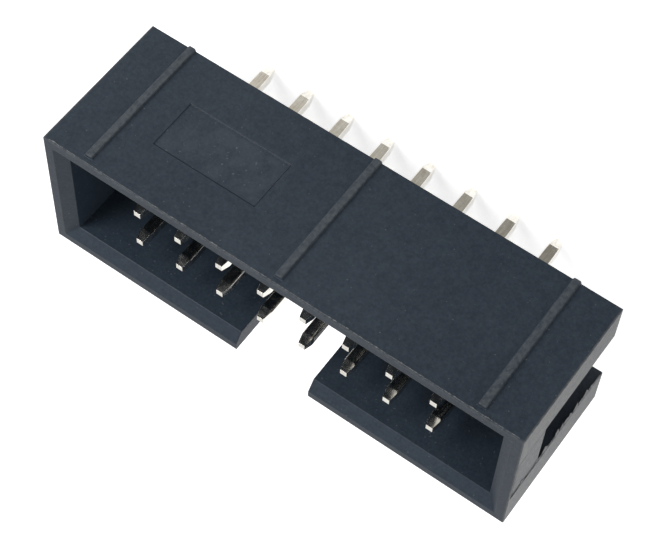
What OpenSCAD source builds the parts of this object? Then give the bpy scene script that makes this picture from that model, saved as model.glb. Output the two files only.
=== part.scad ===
// Box header: two rows of square contacts standing in a shrouded housing.
// The seat on the board is the plane z = 0, with its centre in the middle of the contact field.
// The rows run along X, the ribbed wall faces +Y, the key notch faces -Y, and the mouth opens to +Z.

/* [Contacts] */
// Contacts along each of the two rows
columns = 8; // [5:1:25]
// Distance between neighbouring contacts, along the rows and across them
pitch = 2.54; // [2.3:0.01:3]
// Side of the square wire
wire_w = 0.64; // [0.5:0.01:0.8]
// Radius of the wire's long edges
wire_round = 0.09; // [0.02:0.01:0.15]
// Gap between the wire and its hole in the floor
wire_gap = 0.01; // [0.005:0.005:0.05]
// Distance from the rim down to the mating tips
tip_below_rim = 0.7; // [0.2:0.1:2]
// Length of the taper at a mating tip
mating_taper_l = 0.6; // [0.3:0.1:1.5]
// Side of the blunt end of a mating tip
mating_end_w = 0.38; // [0.2:0.01:0.45]
// Length of the solder tails below the seat
tail_l = 3.3; // [2:0.1:6]
// Length of the taper at the end of a tail
tail_taper_l = 0.6; // [0.3:0.05:1.5]
// Side of the blunt end of a tail
tail_end_w = 0.36; // [0.15:0.01:0.45]

/* [Housing] */
// Height of the housing above the seat
body_h = 8.7; // [8:0.1:14]
// Thickness of the floor that holds the contacts
floor_t = 2.3; // [1.5:0.1:3.5]
// Thickness of the two end walls
end_wall_t = 1.2; // [0.9:0.05:2]
// Thickness of the two long walls
side_wall_t = 1.2; // [0.9:0.05:2]
// Distance from the centre of an end contact to its end wall
end_room = 3.91; // [2.5:0.01:6]
// Distance from the centre line of a row to its long wall
side_room = 1.93; // [1.4:0.01:3]

/* [Mouth] */
// Width of the flat rim around the mouth
rim_w = 0.55; // [0.3:0.05:0.8]
// Depth of the slope that leads a plug in
lead_in_d = 0.45; // [0.2:0.05:1.5]

/* [Key notch] */
// Width of the notch that takes the key of a plug
key_w = 4.5; // [3:0.1:6]

/* [End slots] */
// Width of the slot in each end wall
slot_w = 3.7; // [2:0.1:5]
// Depth of the slot at the seat
slot_d = 1.35; // [1.25:0.05:1.6]
// Depth of the shallow groove above the ramp
groove_d = 0.05; // [0.02:0.01:0.2]
// Distance from the rim down to the groove
groove_below_rim = 0.15; // [0.05:0.05:0.6]
// Distance from the cavity floor up to the foot of the ramp
ramp_foot_above_floor = 0.12; // [0:0.01:0.5]
// Angle of the ramp to the end wall
ramp_angle = 19.5; // [18:0.5:40]

/* [Ribs] */
// Width of a rib where it meets the ribbed wall
rib_w = 0.5; // [0.35:0.05:0.8]
// Height of a rib above the wall
rib_h = 0.18; // [0.1:0.01:0.3]
// How far the sides of a rib lean in over its height
rib_lean = 0.06; // [0:0.01:0.15]
// Distance from an end face to the middle of the nearest rib
rib_from_end = 2.55; // [1.5:0.05:3.5]
// Distance from the rim down to the end of a rib
rib_below_rim = 0.4; // [0.2:0.05:1.5]

/* [Marking panel] */
// Distance from the first rib to the panel
panel_from_rib = 2; // [0.6:0.1:2.2]
// Distance from the panel to the middle rib
panel_to_middle = 3.3; // [0.6:0.1:3.4]
// Height of the panel, along Z
panel_h = 3; // [1:0.1:4]
// Distance from the rim down to the panel
panel_below_rim = 2.95; // [1.5:0.05:4]
// Depth of the panel
panel_d = 0.05; // [0.02:0.01:0.2]

/* [Hidden] */
$fn = 32;
contact_count = 2 * columns;
field_l = (columns - 1) * pitch;
cavity_l = field_l + 2 * end_room;
cavity_w = pitch + 2 * side_room;
body_l = cavity_l + 2 * end_wall_t;
body_w = cavity_w + 2 * side_wall_t;
hole_w = wire_w + 2 * wire_gap;
ribbed_y = body_w / 2;
rib_x = body_l / 2 - rib_from_end;
// How deep the root of a rib reaches into the wall
rib_root = side_wall_t / 2;
ramp_foot_z = floor_t + ramp_foot_above_floor;
ramp_top_z = ramp_foot_z + (slot_d - groove_d) / tan(ramp_angle);
// How far a cut runs past the face that it opens
past = 1;

housing_colour = [0.13, 0.15, 0.17];
contact_colour = [0.82, 0.81, 0.78];

function contact_name(n) = str("pin_", n < 10 ? "0" : "", n);

// Contacts are counted along X, odd ones in the row beside the key notch
function contact_x(n) = (floor((n - 1) / 2) - (columns - 1) / 2) * pitch;
function contact_y(n) = (n % 2 == 1 ? -1 : 1) * pitch / 2;

// Solid whose outlines seen along Y and along X are the two given outlines
module crossed(outline_x, outline_y, reach) {
    intersection() {
        rotate([90, 0, 0])
            linear_extrude(height = reach, center = true)
                polygon(outline_x);
        rotate([90, 0, 90])
            linear_extrude(height = reach, center = true)
                polygon(outline_y);
    }
}

// Outline of a contact, the same on all four sides
function wire_outline() = [
    [-tail_end_w / 2, -tail_l],
    [tail_end_w / 2, -tail_l],
    [wire_w / 2, tail_taper_l - tail_l],
    [wire_w / 2, body_h - tip_below_rim - mating_taper_l],
    [mating_end_w / 2, body_h - tip_below_rim],
    [-mating_end_w / 2, body_h - tip_below_rim],
    [-wire_w / 2, body_h - tip_below_rim - mating_taper_l],
    [-wire_w / 2, tail_taper_l - tail_l]
];

// Section of the wire, square with rounded corners
module wire_section() {
    square([wire_w, wire_w - 2 * wire_round], center = true);
    square([wire_w - 2 * wire_round, wire_w], center = true);
    for (x = [-1, 1], y = [-1, 1])
        translate([x, y] * (wire_w / 2 - wire_round))
            circle(r = wire_round);
}

module contact(n) {
    color(contact_colour)
        translate([contact_x(n), contact_y(n), 0])
            intersection() {
                crossed(wire_outline(), wire_outline(), 2 * wire_w);
                translate([0, 0, -tail_l])
                    linear_extrude(height = tail_l + body_h - tip_below_rim)
                        wire_section();
            }
}

// Outline of the mouth's slope between an inner and an outer width, and on past the rim
function lead_in_outline(inner, outer) = [
    [-inner / 2, body_h - lead_in_d],
    [inner / 2, body_h - lead_in_d],
    [outer / 2, body_h],
    [outer / 2, body_h + past],
    [-outer / 2, body_h + past],
    [-outer / 2, body_h]
];

module cavity() {
    translate([-cavity_l / 2, -cavity_w / 2, floor_t])
        cube([cavity_l, cavity_w, body_h - floor_t + past]);
    crossed(
        lead_in_outline(cavity_l, body_l - 2 * rim_w),
        lead_in_outline(cavity_w, body_w - 2 * rim_w),
        2 * body_l
    );
}

module key_notch() {
    translate([-key_w / 2, -body_w / 2 - past, floor_t])
        cube([key_w, side_wall_t + 2 * past, body_h - floor_t + past]);
}

// Slot in the end wall at +X: open at the seat, then a ramp, then a shallow groove
module end_slot() {
    translate([body_l / 2, 0, 0])
        rotate([90, 0, 0])
            linear_extrude(height = slot_w, center = true)
                polygon([
                    [-slot_d, -past],
                    [-slot_d, ramp_foot_z],
                    [-groove_d, ramp_top_z],
                    [-groove_d, body_h - groove_below_rim],
                    [past, body_h - groove_below_rim],
                    [past, -past]
                ]);
}

module contact_hole(n) {
    translate([contact_x(n), contact_y(n), floor_t / 2])
        cube([hole_w, hole_w, floor_t + past], center = true);
}

// Rib with leaning sides that runs from the seat almost to the rim
module rib(x) {
    translate([x, ribbed_y, 0])
        linear_extrude(height = body_h - rib_below_rim)
            polygon([
                [-rib_w / 2, -rib_root],
                [rib_w / 2, -rib_root],
                [rib_w / 2, 0],
                [rib_w / 2 - rib_lean, rib_h],
                [rib_lean - rib_w / 2, rib_h],
                [-rib_w / 2, 0]
            ]);
}

module marking_panel() {
    panel_x = -rib_x + panel_from_rib;
    translate([panel_x, ribbed_y - panel_d, body_h - panel_below_rim - panel_h])
        cube([rib_x - panel_from_rib - panel_to_middle, panel_d + past, panel_h]);
}

module housing() {
    color(housing_colour)
        difference() {
            union() {
                translate([-body_l / 2, -body_w / 2, 0])
                    cube([body_l, body_w, body_h]);
                for (x = [-rib_x, 0, rib_x])
                    rib(x);
            }
            cavity();
            key_notch();
            for (side = [0, 1])
                mirror([side, 0, 0])
                    end_slot();
            for (n = [1:contact_count])
                contact_hole(n);
            marking_panel();
        }
}

housing();
for (n = [1:contact_count])
    contact(n);
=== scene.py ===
import math
import random

import bmesh
import bpy
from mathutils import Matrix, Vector


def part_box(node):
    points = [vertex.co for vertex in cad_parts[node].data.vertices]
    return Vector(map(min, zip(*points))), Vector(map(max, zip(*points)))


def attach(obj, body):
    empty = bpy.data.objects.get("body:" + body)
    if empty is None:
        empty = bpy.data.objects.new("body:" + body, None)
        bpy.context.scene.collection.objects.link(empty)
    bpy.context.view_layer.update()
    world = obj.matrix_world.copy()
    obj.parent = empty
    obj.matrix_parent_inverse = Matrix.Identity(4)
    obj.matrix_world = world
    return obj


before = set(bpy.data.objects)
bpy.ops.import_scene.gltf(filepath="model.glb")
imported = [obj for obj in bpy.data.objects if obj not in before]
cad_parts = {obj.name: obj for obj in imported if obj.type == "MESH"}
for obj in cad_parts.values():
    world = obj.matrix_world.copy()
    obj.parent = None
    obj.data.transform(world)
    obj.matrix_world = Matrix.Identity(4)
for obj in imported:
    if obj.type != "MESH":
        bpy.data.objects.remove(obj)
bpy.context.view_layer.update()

# Looks, camera and light for the box header. Lengths are in metres unless a name ends in mm.
MM = 0.001

# The camera: its place, its turn about X, Y and Z in degrees, its lens, the width of its sensor, and how near
# it sees
CAMERA_AT_MM = (26.85, 81.34, 46.11)
CAMERA_TURN = (-57.49, 35.44, 2.42)
CAMERA_LENS_MM = 103.3
CAMERA_SENSOR_MM = 36
CAMERA_NEAR_MM = 1

# How bright the white surroundings look, and how much light they give the object
WHITE = 1.0
SKY_LIGHT = 0.45

# Rounding of the moulded edges and of the wire's blunt ends
HOUSING_ROUND_MM = 0.06
WIRE_ROUND_MM = 0.02
ROUND_SEGMENTS = 2

# Points closer than this are one point, and edges that turn by more than this angle are sharp
WELD_MM = 0.0005
SHARP_DEGREES = 15

# How far the ribs stand out of the ribbed wall, and half the width of the slots in the end walls
RIB_PROUD_MM = 0.18
SLOT_HALF_MM = 1.85

# The shallow marking panel, from left to right and from low to high, and the soft border of its wear
PANEL_X_MM = (-9.45, -3.3)
PANEL_Z_MM = (2.75, 5.75)
PANEL_BORDER_MM = 0.25

# Where wear fades in, counted outward from the face that it belongs to; on the ribs and rim this is wear and
# a painted highlight, and on the end faces it is a painted reflection
RIB_WEAR_AND_HIGHLIGHT_MM = (0.03, 0.10)
RIM_WEAR_AND_HIGHLIGHT_MM = (-0.16, -0.03)
WALL_WEAR_AND_HIGHLIGHT_MM = (-0.12, -0.02)
END_REFLECTION_MM = (-0.10, -0.03)
PANEL_WEAR_MM = (-0.5, -0.2)

# Colours of the plastic: its darkest and lightest slate, and its worn places; the grey of the ribs and rim is
# wear with a painted highlight, and the grey of the end faces is a painted reflection
SLATE_DARK = (0.0075, 0.0135, 0.023, 1)
SLATE_LIGHT = (0.025, 0.0355, 0.049, 1)
RUBBED_AND_HIGHLIGHT_GREY = (0.076, 0.085, 0.093, 1)
END_REFLECTION_GREY = (0.125, 0.123, 0.115, 1)
PANEL_GREY = (0.042, 0.053, 0.066, 1)
SPECK_GREY = (0.14, 0.15, 0.16, 1)

# Thickness of a torn edge at its root and at its crest, and how deep its root sits in the wall
TORN_ROOT_MM = 0.07
TORN_CREST_MM = 0.02
TORN_SUNK_MM = 0.05

# How ragged a torn edge is: the share that a step slips along, the waver of its crest, its lowest share of
# the tallest height, how rare tall places are, and its height where nothing stands
TORN_SLIP = 0.35
TORN_WAVER_MM = 0.008
TORN_LEAST = 0.08
TORN_RARITY = 2.5
TORN_SMOOTH_MM = 0.005

# Where the torn edges run: within the end faces, from above the seat to below the rim, and in from the ends
TORN_INSET_MM = 0.01
SLOT_TORN_FROM_MM = 0.25
SLOT_TORN_BELOW_RIM_MM = 0.7
RIM_TORN_FROM_END_MM = 0.3

# The white floor: its reach each way, its paint, and the glow that lifts it to white
FLOOR_REACH_MM = 600
FLOOR_PAINT = 0.80
FLOOR_GLOW = 0.72

# The grey card that the metal and the gloss show, a glowing sheet that paints a dark reflection: its near
# edge, its reach, its height over the floor, its tint, and its tone from left to right
CARD_NEAR_MM = 2.3
CARD_REACH_MM = 80
CARD_LIFT_MM = 0.05
REFLECTION_CARD_TINT = (1, 0.96, 0.88, 1)
REFLECTION_CARD_TONE = (0.72, 0.27)
CARD_TONE_SPAN_MM = (-11, 9)

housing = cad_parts["housing"]
housing_low, housing_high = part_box("housing")
wall_y_mm = housing_high.y / MM - RIB_PROUD_MM
pin_names = sorted(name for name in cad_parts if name.startswith("pin_"))
tail_end_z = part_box(pin_names[0])[0].z


# Node helpers ---------------------------------------------------------------

class Shader:
    """Short ways to add and join the nodes of one material."""

    def __init__(self, name):
        self.material = bpy.data.materials.new(name)
        self.material.use_nodes = True
        self.tree = self.material.node_tree
        self.tree.nodes.clear()
        self.output = self.tree.nodes.new("ShaderNodeOutputMaterial")

    def add(self, kind, inputs=None, **settings):
        node = self.tree.nodes.new(kind)
        for key, value in settings.items():
            setattr(node, key, value)
        for key, value in (inputs or {}).items():
            self.put(value, node.inputs[key])
        return node

    def put(self, value, socket):
        if isinstance(value, bpy.types.NodeSocket):
            self.tree.links.new(value, socket)
        else:
            socket.default_value = value

    def place(self):
        """The point on the surface in the part's own frame."""
        return self.add("ShaderNodeTexCoord").outputs["Object"]

    def noise(self, feature_mm, detail=2.0, roughness=0.5, vector=None):
        node = self.add(
            "ShaderNodeTexNoise",
            {"Scale": 1 / (feature_mm * MM), "Detail": detail, "Roughness": roughness},
        )
        self.put(vector or self.place(), node.inputs["Vector"])
        return node.outputs["Fac"]

    def spread(self, value, low, high, to_low=0.0, to_high=1.0):
        """value between low and high, mapped to to_low and to_high."""
        node = self.add(
            "ShaderNodeMapRange",
            {"Value": value, "From Min": low, "From Max": high, "To Min": to_low, "To Max": to_high},
        )
        return node.outputs["Result"]

    def past(self, value, face, fade_mm):
        """0 short of a face and 1 past it, fading in between two distances from it."""
        near, far = fade_mm
        return self.spread(value, face + near * MM, face + far * MM)

    def math(self, operation, a, b=0.0):
        node = self.add("ShaderNodeMath", operation=operation)
        self.put(a, node.inputs[0])
        self.put(b, node.inputs[1])
        return node.outputs[0]

    def mix(self, factor, a, b):
        node = self.add("ShaderNodeMix", data_type="RGBA")
        self.put(factor, node.inputs["Factor"])
        self.put(a, node.inputs["A"])
        self.put(b, node.inputs["B"])
        return node.outputs["Result"]

    def bump(self, height, depth_mm, normal=None):
        node = self.add("ShaderNodeBump", {"Height": height, "Distance": depth_mm * MM})
        if normal:
            self.put(normal, node.inputs["Normal"])
        return node.outputs["Normal"]

    def surface(self, shader):
        self.tree.links.new(shader, self.output.inputs["Surface"])
        return self.material


# Materials ------------------------------------------------------------------

def wear_and_highlight_on_ribs_and_rim(s, axes, wall_y):
    """1 on the ribs and along the ribbed wall's upper edge, where wear and a painted highlight go."""
    on_rib = s.past(axes["Y"], wall_y, RIB_WEAR_AND_HIGHLIGHT_MM)
    by_rim = s.past(axes["Z"], housing_high.z, RIM_WEAR_AND_HIGHLIGHT_MM)
    outside = s.past(axes["Y"], wall_y, WALL_WEAR_AND_HIGHLIGHT_MM)
    return s.math("MAXIMUM", on_rib, s.math("MULTIPLY", by_rim, outside))


def worn_panel(s, axes, wall_y):
    """1 on the marking panel, fading out at its borders."""
    patch = s.past(axes["Y"], wall_y, PANEL_WEAR_MM)
    for axis, (low, high) in (("X", PANEL_X_MM), ("Z", PANEL_Z_MM)):
        after_low = s.past(axes[axis], low * MM, (-PANEL_BORDER_MM, PANEL_BORDER_MM))
        before_high = s.past(axes[axis], high * MM, (PANEL_BORDER_MM, -PANEL_BORDER_MM))
        patch = s.math("MULTIPLY", patch, s.math("MULTIPLY", after_low, before_high))
    return patch


def moulded_plastic():
    """Slate plastic with a fine moulded grain, pale where the panel is worn, pale on the ribs and rim with
    wear and a painted highlight, and pale on the end faces with a painted reflection.
    """
    s = Shader("moulded_plastic")
    cloud = s.noise(9.0, detail=1.0)
    mottle = s.noise(0.6, detail=4.0)
    pepper = s.noise(0.16, detail=4.0, roughness=0.7)
    grain = s.noise(0.07, detail=3.0, roughness=0.6)
    broad = s.math("ADD", s.math("MULTIPLY", cloud, 0.5), s.math("MULTIPLY", mottle, 0.5))
    tone = s.math("ADD", s.math("MULTIPLY", broad, 0.4), s.math("MULTIPLY", pepper, 0.6))
    colour = s.mix(s.spread(tone, 0.31, 0.69), SLATE_DARK, SLATE_LIGHT)

    axes = s.add("ShaderNodeSeparateXYZ", {"Vector": s.place()}).outputs
    wall_y = wall_y_mm * MM
    fleck = s.spread(s.noise(0.22, detail=4.0), 0.30, 0.62, 0.25, 1.0)
    # Wear and painted highlight: the ribs and the ribbed wall's upper edge are made paler, in flecks.
    rubbed_and_highlight = s.math("MULTIPLY", wear_and_highlight_on_ribs_and_rim(s, axes, wall_y), fleck)
    colour = s.mix(s.math("MULTIPLY", rubbed_and_highlight, 0.55), colour, RUBBED_AND_HIGHLIGHT_GREY)
    # Painted reflection: the end faces are made paler, in flecks.
    at_end = s.past(s.math("ABSOLUTE", axes["X"]), housing_high.x, END_REFLECTION_MM)
    end_reflection = s.math("MULTIPLY", at_end, fleck)
    colour = s.mix(s.math("MULTIPLY", end_reflection, 0.60), colour, END_REFLECTION_GREY)
    patchy = s.spread(s.noise(0.8, detail=3.0), 0.40, 0.60, 0.05, 0.35)
    colour = s.mix(s.math("MULTIPLY", worn_panel(s, axes, wall_y), patchy), colour, PANEL_GREY)
    speck = s.spread(s.noise(0.13, detail=0.0), 0.80, 0.84)
    colour = s.mix(s.math("MULTIPLY", speck, 0.30), colour, SPECK_GREY)

    shader = s.add(
        "ShaderNodeBsdfPrincipled",
        {
            "Base Color": colour,
            "Roughness": s.spread(grain, 0.3, 0.7, 0.42, 0.54),
            "Specular IOR Level": 0.25,
            "Normal": s.bump(grain, 0.006, s.bump(mottle, 0.012)),
        },
    )
    return s.surface(shader.outputs["BSDF"])


def torn_plastic():
    """The same plastic where it was torn or cut: stretched pale."""
    s = Shader("torn_plastic")
    fleck = s.noise(0.12, detail=3.0)
    shade = s.mix(s.spread(fleck, 0.35, 0.65), (0.035, 0.042, 0.050, 1), (0.16, 0.165, 0.165, 1))
    shader = s.add(
        "ShaderNodeBsdfPrincipled",
        {
            "Base Color": shade,
            "Roughness": s.spread(fleck, 0.3, 0.7, 0.5, 0.7),
            "Specular IOR Level": 0.3,
            "Normal": s.bump(fleck, 0.01),
        },
    )
    return s.surface(shader.outputs["BSDF"])


def tin_plate():
    """Tin plating over drawn wire: faint streaks along the wire, and a soft grey bloom."""
    s = Shader("tin_plate")
    stretch = s.add("ShaderNodeMapping", {"Vector": s.place(), "Scale": (1, 1, 0.08)})
    drawn = s.noise(0.09, detail=2.0, vector=stretch.outputs["Vector"])
    cloud = s.noise(0.35, detail=3.0)
    tone = s.math("ADD", s.math("MULTIPLY", drawn, 0.5), s.math("MULTIPLY", cloud, 0.5))
    shade = s.mix(s.spread(tone, 0.35, 0.65), (0.66, 0.63, 0.57, 1), (0.84, 0.83, 0.79, 1))
    shader = s.add(
        "ShaderNodeBsdfPrincipled",
        {
            "Base Color": shade,
            "Metallic": 1.0,
            "Roughness": s.spread(cloud, 0.3, 0.7, 0.09, 0.19),
            "Normal": s.bump(drawn, 0.0002),
        },
    )
    return s.surface(shader.outputs["BSDF"])


def white_floor():
    """Plain pale floor: it takes shadows, and the camera sees the rest of it as white."""
    s = Shader("white_floor")
    rays = s.add("ShaderNodeLightPath").outputs
    mirrored = s.math("MAXIMUM", rays["Is Glossy Ray"], rays["Is Transmission Ray"])
    seen = s.math("MAXIMUM", rays["Is Camera Ray"], mirrored)
    paint = s.add("ShaderNodeBsdfDiffuse", {"Color": (FLOOR_PAINT, FLOOR_PAINT, FLOOR_PAINT, 1)})
    glow = s.math("MULTIPLY", seen, FLOOR_GLOW)
    lift = s.add("ShaderNodeEmission", {"Color": (1, 1, 1, 1), "Strength": glow})
    both = s.add("ShaderNodeAddShader")
    s.put(paint.outputs["BSDF"], both.inputs[0])
    s.put(lift.outputs["Emission"], both.inputs[1])
    return s.surface(both.outputs["Shader"])


def painted_reflection_card():
    """Glowing card, darker to the right, that stands in for an unlit room in gloss: it paints a dark
    reflection.
    """
    s = Shader("painted_reflection_card")
    across = s.add("ShaderNodeSeparateXYZ", {"Vector": s.place()}).outputs["X"]
    left, right = (edge * MM for edge in CARD_TONE_SPAN_MM)
    # Painted reflection: the glow falls from left to right, so the gloss towards the right shows darker.
    tone = s.spread(across, left, right, *REFLECTION_CARD_TONE)
    glow = s.add("ShaderNodeEmission", {"Color": REFLECTION_CARD_TINT, "Strength": tone})
    return s.surface(glow.outputs["Emission"])


# Pieces ---------------------------------------------------------------------

def set_material(piece, material):
    piece.data.materials.clear()
    piece.data.materials.append(material)


def round_edges(piece, radius_mm):
    """Rounds the sharp edges a little, as a mould or a die leaves them."""
    weld = piece.modifiers.new("weld", "WELD")
    weld.merge_threshold = WELD_MM * MM
    bevel = piece.modifiers.new("round", "BEVEL")
    bevel.width = radius_mm * MM
    bevel.segments = ROUND_SEGMENTS
    bevel.limit_method = "ANGLE"
    bevel.angle_limit = math.radians(SHARP_DEGREES)
    bevel.harden_normals = True


def torn_edge(name, start_mm, end_mm, stick_out, across, material, step_mm, tallest_mm, chance=1.0):
    """Thin ragged strip of plastic along an edge, tall in a few places and low in the rest."""
    draw = random.Random(name)
    start, end = Vector(start_mm), Vector(end_mm)
    stick_out, across = Vector(stick_out), Vector(across)
    steps = max(2, round((end - start).length / step_mm))
    bm = bmesh.new()
    rings = []
    for i in range(steps + 1):
        slip = draw.uniform(-TORN_SLIP, TORN_SLIP) if 0 < i < steps else 0
        spot = start.lerp(end, (i + slip) / steps)
        stands = draw.random() < chance and 0 < i < steps
        height = TORN_SMOOTH_MM
        if stands:
            share = TORN_LEAST + (1 - TORN_LEAST) * draw.random() ** TORN_RARITY
            height = tallest_mm * share
        root = spot - stick_out * TORN_SUNK_MM
        crest = spot + stick_out * height + across * draw.uniform(-TORN_WAVER_MM, TORN_WAVER_MM)
        corners = [
            root + across * TORN_ROOT_MM / 2,
            crest + across * TORN_CREST_MM / 2,
            crest - across * TORN_CREST_MM / 2,
            root - across * TORN_ROOT_MM / 2,
        ]
        rings.append([bm.verts.new(corner * MM) for corner in corners])
    for ring, after in zip(rings, rings[1:]):
        for k in range(4):
            bm.faces.new((ring[k], ring[(k + 1) % 4], after[(k + 1) % 4], after[k]))
    bm.faces.new(rings[0][::-1])
    bm.faces.new(rings[-1])
    bmesh.ops.recalc_face_normals(bm, faces=bm.faces)
    mesh = bpy.data.meshes.new(name)
    bm.to_mesh(mesh)
    bm.free()
    piece = bpy.data.objects.new(name, mesh)
    bpy.context.scene.collection.objects.link(piece)
    set_material(piece, material)
    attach(piece, "root")


def add_torn_edges():
    """Ragged flash where the end slots were cut, and small burrs along the ribbed wall's rim."""
    torn = torn_plastic()
    end_x = housing_high.x / MM
    rim_z = housing_high.z / MM
    along_x, out, inward, up = (1, 0, 0), (0, 1, 0), (0, -1, 0), (0, 0, 1)
    low_z, high_z = SLOT_TORN_FROM_MM, rim_z - SLOT_TORN_BELOW_RIM_MM
    for side, end in ((1, "right"), (-1, "left")):
        face_x = side * (end_x - TORN_ROOT_MM / 2 - TORN_INSET_MM)
        low, high = (face_x, -SLOT_HALF_MM, low_z), (face_x, -SLOT_HALF_MM, high_z)
        torn_edge("slot_flash_" + end, low, high, out, along_x, torn, step_mm=0.15, tallest_mm=0.60)
        low, high = (face_x, SLOT_HALF_MM, low_z), (face_x, SLOT_HALF_MM, high_z)
        torn_edge(
            "slot_burr_" + end, low, high, inward, along_x, torn,
            step_mm=0.22, tallest_mm=0.09, chance=0.6,
        )
    edge_z = rim_z - TORN_ROOT_MM / 2 - HOUSING_ROUND_MM
    reach_x = end_x - RIM_TORN_FROM_END_MM
    left, right = (-reach_x, wall_y_mm, edge_z), (reach_x, wall_y_mm, edge_z)
    torn_edge("rim_burr", left, right, out, up, torn, step_mm=0.14, tallest_mm=0.10, chance=0.45)


def dress_pieces():
    plastic = moulded_plastic()
    tin = tin_plate()
    set_material(housing, plastic)
    round_edges(housing, HOUSING_ROUND_MM)
    for name in pin_names:
        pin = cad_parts[name]
        set_material(pin, tin)
        round_edges(pin, WIRE_ROUND_MM)
    add_torn_edges()


# Stage ----------------------------------------------------------------------

def add_sheet(name, x_mm, y_mm, z_mm, material):
    """Flat level sheet between two X and two Y values."""
    mesh = bpy.data.meshes.new(name)
    corners = [(x_mm[0], y_mm[0]), (x_mm[1], y_mm[0]), (x_mm[1], y_mm[1]), (x_mm[0], y_mm[1])]
    mesh.from_pydata([Vector((x, y, z_mm)) * MM for x, y in corners], [], [(0, 1, 2, 3)])
    sheet = bpy.data.objects.new(name, mesh)
    bpy.context.scene.collection.objects.link(sheet)
    set_material(sheet, material)
    return sheet


def add_floor():
    reach = (-FLOOR_REACH_MM, FLOOR_REACH_MM)
    add_sheet("floor", reach, reach, tail_end_z / MM, white_floor())


def add_painted_reflection_card():
    """Grey card on the floor beside the ribbed wall, which shows in gloss only, as a painted reflection."""
    across = (-CARD_REACH_MM, CARD_REACH_MM)
    along = (CARD_NEAR_MM, CARD_REACH_MM)
    reflection_card = add_sheet("reflection_card", across, along, tail_end_z / MM + CARD_LIFT_MM, painted_reflection_card())
    reflection_card.visible_camera = False
    reflection_card.visible_diffuse = False
    reflection_card.visible_shadow = False
    reflection_card.visible_transmission = False


def add_lamp(name, at_mm, size_mm, watts):
    """A square soft lamp that faces the middle of the housing."""
    data = bpy.data.lights.new(name, "AREA")
    data.shape = "SQUARE"
    data.size = size_mm * MM
    data.energy = watts
    lamp = bpy.data.objects.new(name, data)
    lamp.location = Vector(at_mm) * MM
    middle = (housing_low + housing_high) / 2
    lamp.rotation_euler = (middle - lamp.location).to_track_quat("-Z", "Y").to_euler()
    bpy.context.scene.collection.objects.link(lamp)


def add_world():
    world = bpy.data.worlds.new("studio")
    bpy.context.scene.world = world
    world.use_nodes = True
    nodes, links = world.node_tree.nodes, world.node_tree.links
    background = nodes["Background"]
    path = nodes.new("ShaderNodeLightPath")
    seen = nodes.new("ShaderNodeMath")
    seen.operation = "MAXIMUM"
    links.new(path.outputs["Is Camera Ray"], seen.inputs[0])
    links.new(path.outputs["Is Glossy Ray"], seen.inputs[1])
    level = nodes.new("ShaderNodeMapRange")
    links.new(seen.outputs[0], level.inputs["Value"])
    level.inputs["To Min"].default_value = SKY_LIGHT
    level.inputs["To Max"].default_value = WHITE
    links.new(level.outputs["Result"], background.inputs["Strength"])
    background.inputs["Color"].default_value = (1, 1, 1, 1)


def add_camera():
    data = bpy.data.cameras.new("camera")
    data.sensor_width = CAMERA_SENSOR_MM
    data.lens = CAMERA_LENS_MM
    data.clip_start = CAMERA_NEAR_MM * MM
    camera = bpy.data.objects.new("camera", data)
    camera.location = Vector(CAMERA_AT_MM) * MM
    camera.rotation_euler = [math.radians(angle) for angle in CAMERA_TURN]
    bpy.context.scene.collection.objects.link(camera)
    bpy.context.scene.camera = camera


add_camera()
bpy.context.scene.view_settings.view_transform = "Standard"
add_world()
add_floor()
add_painted_reflection_card()
add_lamp("key", (-80, 110, 90), size_mm=90, watts=0.24)
add_lamp("fill", (160, 40, 90), size_mm=120, watts=0.12)
dress_pieces()
